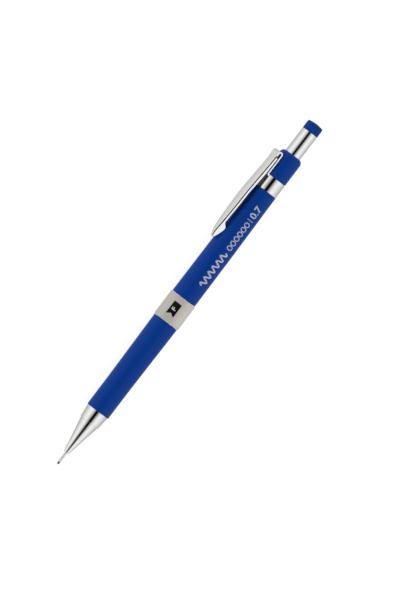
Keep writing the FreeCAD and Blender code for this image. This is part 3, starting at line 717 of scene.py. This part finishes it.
def make_clip_arm():
    """Sprung arm: a folded channel with a tapered, dropped nose and two pressed side walls."""
    end, back = span("clip_arm")
    pivot = back - SHEET / 2
    pivot_height = LEAF_UNDER + 2 * FOLD_RADIUS - SHEET / 2
    back_top = pivot_height + SHEET / 2
    half_width = smooth_curve([
        *((end + along, wide) for along, wide in ARM_TAPER), (pivot, CLIP_WIDTH / 2)])
    walls_end = pivot - SHEET
    level = CLIP_HEIGHT - WALL_DEPTH
    run = walls_end - end - FOOT_LEVEL
    wall_foot = smooth_curve([
        *((end + along, height) for along, height in FOOT_DIP),
        *((end + FOOT_LEVEL + share * run, level - depth) for share, depth in FOOT_RUN)])

    def top(station):
        offset = station - end
        if offset < FLAT_FRONT:
            return CLIP_HEIGHT - NOSE_DROP * ((FLAT_FRONT - offset) / FLAT_FRONT) ** NOSE_CURVE
        share = (pivot - station) / (pivot - end - FLAT_BACK)
        if share >= 1:
            return CLIP_HEIGHT
        eased = max(0.0, share) ** BACK_EASE
        return back_top + (CLIP_HEIGHT - back_top) * eased * eased * (3 - 2 * eased)

    def section(station, wide, high, under, foot):
        inner = max(wide - SHEET, HOLLOW_LEAST * wide)
        foot = min(foot, under - WALL_LEAST)
        edge = min(EDGE_FLAT, EDGE_FLAT_WIDE * wide, EDGE_FLAT_DEEP * (high - under))
        crown = [(wide - edge * math.cos(EDGE_LEAN)) * share for share in CROWN_SHARES]
        slope = [(x, high - CROWN * (x / wide) ** 2) for x in crown]
        right = [(wide, foot), (wide, slope[0][1] - edge * math.sin(EDGE_LEAN)), *slope]
        points = [*right, (0, high), *((-x, z) for x, z in reversed(right)),
                  (-inner, foot), (-inner, under), (inner, under), (inner, foot)]
        return [clip_place(station, height, across) for across, height in points]

    sections = []
    for step in range(1, NOSE_STEPS + 1):
        turn = step / NOSE_STEPS * math.pi / 2
        station = end + NOSE_ROUND * (1 - math.cos(turn))
        wide = half_width(end) * math.sin(turn)
        high = top(station)
        sections.append(section(station, wide, high, high - SHEET, wall_foot(station)))
    runs = [(end + NOSE_ROUND, end + FINE_FRONT, FINE_STEP),
            (end + FINE_FRONT, walls_end, LONG_STEP), (walls_end, pivot, BACK_STEP)]
    for start, stop, step in runs:
        count = round((stop - start) / step)
        for index in range(1, count + 1):
            station = start + (stop - start) * index / count
            high = top(station)
            foot = wall_foot(station) if start < walls_end else high
            sections.append(section(station, half_width(station), high, high - SHEET, foot))
    for degrees in BACK_TURNS:
        drop = SHEET / 2 * math.cos(math.radians(degrees))
        station = pivot + SHEET / 2 * math.sin(math.radians(degrees))
        sections.append(section(station, CLIP_WIDTH / 2, pivot_height + drop,
                                pivot_height - drop + WALL_LEAST, pivot_height - drop))
    arm = softened(lofted("arm", sections), ARM_EDGE_ROUND)

    def choose(normal, height, across, station):
        if normal.dot(TO_CLIP) > FACING_UP:
            return "clip_steel"
        # Faces of the channel's inside, between the side walls, get painted shade
        walled = (abs(across) < half_width(station) - WALL_SHARE * SHEET
                  and end + PAINTED_SHADE_FRONT < station < walls_end)
        facing_in = normal.dot(TO_CLIP) < -FACING or normal.dot(TO_SIDE) * across < 0
        return "clip_inside" if walled and facing_in else "clip_polish"
    dress_faces(arm, choose)
    fit(arm, "clip", "clip_steel", "clip_arm")


# --- Button end ------------------------------------------------------------------------------

END_RADIUS, END_BORE = 4.225, 2.975
SHOULDER = 1.7
TUBE_RADIUS = 2.925
CAP_RADIUS = 2.975
CAP_RIM = 3.9                 # length of the cap's plug
CAP_CROWN, CROWN_RADIUS = 0.25, 2.2
CAP_SEGMENTS = 320
CAP_RIBS = 20
RIB_DEPTH = 0.14
RIB_GROOVE = 0.25             # half the width of the groove between two ribs
RIB_START = CAP_RADIUS - 0.85     # radius where the grooves start on the cap's end
RIB_FADE = 0.5                # and the run over which they reach their depth


def ribbed(offset, radius, angle):
    """Grooves between the ribs of the cap's outside."""
    if offset < CAP_RIM or radius < RIB_START:
        return radius
    phase = (angle * CAP_RIBS / (2 * math.pi)) % 1 - 0.5
    away = abs(phase) * 2 * math.pi * CAP_RADIUS / CAP_RIBS
    depth = max(0.0, 1 - (away / RIB_GROOVE) ** 2) * RIB_DEPTH
    return radius - depth * min(1.0, (radius - RIB_START) / RIB_FADE)


def make_button_end():
    """Screwed end section, push tube, ribbed cap and the eraser under it."""
    first, length = run_of("top_section")
    centre = (length - SHOULDER, END_RADIUS - SHOULDER)
    bore_turn = math.degrees(math.asin((END_BORE - centre[1]) / SHOULDER))
    shoulder = [(*point, 0) for point in arc_points(centre, SHOULDER, 90, bore_turn, 10)]
    end_section = turned("end_section", first, [
        (0, 3.72, 0), (0, END_RADIUS, 0.05), *shoulder, (3.43, END_BORE, 0), (3.43, 3.72, 0)])
    fit(end_section, "barrel", "blue_plastic", "top_section")
    first, length = run_of("push_tube")
    tube = turned("button_tube", first, [
        (0, 2.27, 0), (0, TUBE_RADIUS, 0.08), (length, TUBE_RADIUS, 0.06), (length, 2.6, 0),
        (4.0, 2.6, 0), (4.0, 2.27, 0)])
    fit(tube, "button", "chrome", "push_tube")
    first, length = run_of("button_cap")
    crown = [(length - CAP_CROWN * share ** 2, CROWN_RADIUS * share, 0)
             for share in (0.8, 0.6, 0.4, 0.2, 0)]
    cap = turned("ribbed_cap", first, [
        (0, 1.74, 0), (0, 2.58, 0.1), (CAP_RIM, 2.58, 0), (CAP_RIM, CAP_RADIUS, 0.08),
        (length - CAP_CROWN, CAP_RADIUS, 0.7), *crown, (6.1, 0, 0), (6.1, 1.74, 0)],
        CAP_SEGMENTS, ribbed)
    fit(cap, "cap", "blue_plastic", "button_cap")
    first, length = run_of("eraser")
    rubber = turned("rubber", first, [
        (0, 0, 0), (0, 1.68, 0.15), (length, 1.68, 0.35), (length, 0, 0)],
        SMALL_SEGMENTS)
    fit(rubber, "button", "white_rubber", "eraser")


# --- Inner pieces that stay as the frame has them --------------------------------------------

KEPT = {
    "chuck": "brass", "chuck_ring": "brass", "guide_sleeve": "brass",
    "chuck_connector": "clear_plastic", "lead_reservoir": "clear_plastic",
    "spare_lead_1": "graphite", "spare_lead_2": "graphite", "spare_lead_3": "graphite",
    "front_washer": "black_plastic", "rear_washer": "black_plastic",
}


def dress_kept_nodes():
    """Materials for the frame's own inner pieces."""
    for node, look in KEPT.items():
        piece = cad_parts[node]
        piece.data.materials.clear()
        piece.data.materials.append(LOOKS[look])


# --- Floor, light and camera -----------------------------------------------------------------

FLOOR_SIZE = 6.0              # metres
FLOOR_SHADE = 0.12
FLOOR_GLOW = 0.95             # keeps the floor near white under the faint contact shadow
# The studio's brightness by the angle round the pencil from the camera, in degrees: a narrow dark
# gap at the camera between two large softboxes, and paler walls behind.
STUDIO = [(0, 0.0), (8, 0.0), (10, 0.03), (13, 0.13), (18, 0.33), (27, 0.6), (36, 0.82),
          (47, 1.02), (56, 1.08), (67, 1.02), (91, 0.86), (105, 0.72), (122, 0.62), (139, 0.5),
          (180, 0.42)]


def make_floor():
    """Plain pale floor that glows enough to stay near white, with a faint contact shadow."""
    mesh = bpy.data.meshes.new("floor")
    half = FLOOR_SIZE / 2
    mesh.from_pydata([(-half, -half, 0), (half, -half, 0), (half, half, 0), (-half, half, 0)], [],
                     [(0, 1, 2, 3)])
    floor = linked("floor", mesh)
    paper = bpy.data.materials.new("floor_paper")
    paper.use_nodes = True
    shader = paper.node_tree.nodes["Principled BSDF"]
    shader.inputs["Base Color"].default_value = (FLOOR_SHADE, FLOOR_SHADE, FLOOR_SHADE, 1)
    shader.inputs["Roughness"].default_value = 1.0
    shader.inputs["Specular IOR Level"].default_value = 0.0
    shader.inputs["Emission Color"].default_value = (1, 1, 1, 1)
    shader.inputs["Emission Strength"].default_value = FLOOR_GLOW
    mesh.materials.append(paper)
    floor.visible_glossy = False


def make_world():
    """Soft studio round the pencil, drawn as one brightness curve; plain white where it shows."""
    world = bpy.data.worlds.new("studio")
    bpy.context.scene.world = world
    world.use_nodes = True
    nodes, links = world.node_tree.nodes, world.node_tree.links
    direction = nodes.new("ShaderNodeTexCoord")
    back = out_from_axis(VIEW_ANGLE)

    def share_along(axis):
        dot = nodes.new("ShaderNodeVectorMath")
        dot.operation = "DOT_PRODUCT"
        dot.inputs[1].default_value = axis
        links.new(direction.outputs["Generated"], dot.inputs[0])
        return dot.outputs["Value"]

    def calculate(operation, *values):
        node = nodes.new("ShaderNodeMath")
        node.operation = operation
        for socket, entry in zip(node.inputs, values):
            if isinstance(entry, float):
                socket.default_value = entry
            else:
                links.new(entry, socket)
        return node.outputs["Value"]

    around = calculate("ARCTAN2", share_along(TO_BUTTON.cross(back)), share_along(back))
    share = calculate("DIVIDE", calculate("ABSOLUTE", around), math.pi)
    ramp = nodes.new("ShaderNodeValToRGB")
    stops = ramp.color_ramp.elements
    while len(stops) < len(STUDIO):
        stops.new(1.0)
    for stop, (degrees, bright) in zip(stops, STUDIO):
        stop.position = degrees / 180
        stop.color = (bright, bright, bright, 1)
    links.new(share, ramp.inputs["Fac"])
    studio = nodes["Background"]
    links.new(ramp.outputs["Color"], studio.inputs["Color"])
    plain = nodes.new("ShaderNodeBackground")
    plain.inputs["Color"].default_value = (1, 1, 1, 1)
    path = nodes.new("ShaderNodeLightPath")
    mix = nodes.new("ShaderNodeMixShader")
    links.new(path.outputs["Is Camera Ray"], mix.inputs["Fac"])
    links.new(studio.outputs["Background"], mix.inputs[1])
    links.new(plain.outputs["Background"], mix.inputs[2])
    links.new(mix.outputs["Shader"], nodes["World Output"].inputs["Surface"])
    bpy.context.scene.view_settings.view_transform = "Standard"


FRAME_HEIGHT = 0.20033            # metres that the picture's long side covers at the pencil
CAMERA_DISTANCE = 2.5             # metres
SENSOR_WIDTH = 36
CAMERA_REACH = 10                 # metres
PICTURE_TURN = math.radians(52.72)    # the pencil's slope in the picture
AIM_STATION = 72.17
AIM_OFFSET = -4.92                # from the axis towards the clip


def make_camera():
    """Camera over the pencil's clip side, rolled so that the pencil slopes up to the right."""
    back = out_from_axis(VIEW_ANGLE)
    clipward = back.cross(TO_BUTTON)
    right = math.cos(PICTURE_TURN) * TO_BUTTON - math.sin(PICTURE_TURN) * clipward
    up = back.cross(right)
    data = bpy.data.cameras.new("camera")
    data.sensor_width = SENSOR_WIDTH
    data.lens = data.sensor_width * CAMERA_DISTANCE / FRAME_HEIGHT
    data.clip_end = CAMERA_REACH
    camera = linked("camera", data)
    aim = place(AIM_STATION, 0, back) + AIM_OFFSET * MM * clipward
    turn = Matrix((right, up, back)).transposed().to_4x4()
    camera.matrix_world = Matrix.Translation(aim + CAMERA_DISTANCE * back) @ turn
    bpy.context.scene.camera = camera


make_nose()
make_front_barrel()
make_spring()
make_collar()
make_drum()
make_upper_barrel()
make_print()
make_clip_band()
make_clip_arm()
make_button_end()
dress_kept_nodes()
make_floor()
make_world()
make_camera()
